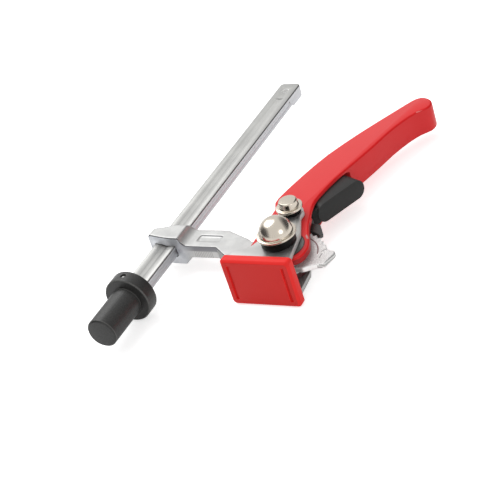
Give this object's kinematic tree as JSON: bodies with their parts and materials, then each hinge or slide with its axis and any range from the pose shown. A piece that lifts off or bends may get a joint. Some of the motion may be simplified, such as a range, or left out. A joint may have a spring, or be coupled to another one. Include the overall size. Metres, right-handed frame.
{
  "type": "hold-down clamp",
  "caption": "Bench hold-down clamp with a collared peg, flat rail, sliding forged arm, toothed sector and red quick-action handle with trigger and padded jaw.",
  "frame": {"origin": "centre of the collar's bench-side face, on the axis of the peg", "axes": "+Y up the rail away from the peg, +X along the arm towards the handle, +Z through the thickness towards the domed cap; the clamp lies on its side"},
  "size_m": [0.1149, 0.23, 0.0378],
  "materials": {
    "zinc_steel": "bright zinc, satin",
    "forged_steel": "satin zinc over a forged skin",
    "sheet_steel": "satin zinc",
    "bright_steel": "bright",
    "bright_nickel": "polished nickel",
    "black_oxide": "black oxide, soft sheen",
    "red_paint": "powder coat, semi-gloss",
    "red_plastic": "moulded, satin",
    "black_plastic": "moulded, satin"
  },
  "bodies": {
    "rail": {"rail": "zinc_steel", "bench_peg": "black_oxide", "cross_pin": "bright_steel"},
    "arm": {"sliding_arm": "forged_steel", "pivot_bolt": "bright_nickel", "dome_cap": "bright_nickel", "pivot_bush": "black_plastic"},
    "handle": {"handle": "red_paint", "washer_top": "bright_steel", "washer_bottom": "bright_steel", "trigger_pin": "bright_steel"},
    "trigger": {"trigger": "black_plastic", "trigger_spring": "bright_steel", "pawl": "black_oxide", "pawl_pin": "bright_steel"},
    "jaw": {"jaw_bracket": "sheet_steel", "pad_cap": "red_plastic", "rivet_top": "bright_nickel", "rivet_spacer": "black_plastic", "rivet_bottom": "bright_nickel"}
  },
  "joints": [
    {"name": "arm_slide", "type": "slide", "parent": "rail", "child": "arm", "axis": [0, 1, 0], "range_m": [-0.033, 0.128]},
    {"name": "handle_hinge", "type": "hinge", "parent": "arm", "child": "handle", "pos_m": [0.071, 0.0385, 0], "axis": [0, 0, 1], "range_deg": [-12, 24]},
    {"name": "trigger_hinge", "type": "hinge", "parent": "handle", "child": "trigger", "pos_m": [0.062, 0.078, 0], "axis": [0, 0, 1], "range_deg": [0, 4], "stiffness_Nm_per_rad": 0.05},
    {"name": "jaw_slide", "type": "slide", "parent": "arm", "child": "jaw", "axis": [0, -1, 0], "range_m": [-0.0012, 0.0024]}
  ],
  "couplings": [
    {"joint": "jaw_slide", "follows": "handle_hinge", "m_per_rad": 0.0055}
  ]
}
